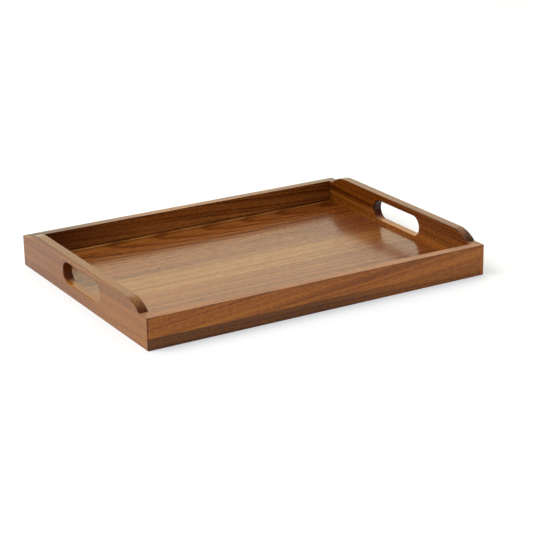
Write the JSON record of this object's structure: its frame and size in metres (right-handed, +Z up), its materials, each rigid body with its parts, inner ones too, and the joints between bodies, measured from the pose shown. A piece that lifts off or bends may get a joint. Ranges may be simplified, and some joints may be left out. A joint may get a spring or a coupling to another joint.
{
  "type": "serving tray",
  "caption": "Rectangular wooden serving tray with mitred rails, raised end rails with cut-through hand slots, and a veneered floor.",
  "frame": {"origin": "centre of the footprint, on the surface the tray stands on", "axes": "+X along the long rails, -Y towards the front rail, +Z up out of the tray"},
  "size_m": [0.5, 0.374, 0.054],
  "materials": {
    "dark_stave_wood": "semi-gloss clear lacquer",
    "long_rail_wood": "semi-gloss clear lacquer",
    "end_rail_wood": "semi-gloss clear lacquer",
    "floor_veneer": "semi-gloss clear lacquer",
    "core_plywood": "raw",
    "backing_veneer": "satin lacquer",
    "tongue_wood": "raw"
  },
  "bodies": {
    "root": {"front_rail_lower_stave": "dark_stave_wood", "front_rail_upper_stave": "long_rail_wood", "back_rail": "long_rail_wood", "left_end_rail": "end_rail_wood", "right_end_rail": "end_rail_wood", "base_face_veneer": "floor_veneer", "base_core": "core_plywood", "base_backing_veneer": "backing_veneer", "front_left_tongue": "tongue_wood", "front_right_tongue": "tongue_wood", "back_left_tongue": "tongue_wood", "back_right_tongue": "tongue_wood"}
  },
  "joints": []
}
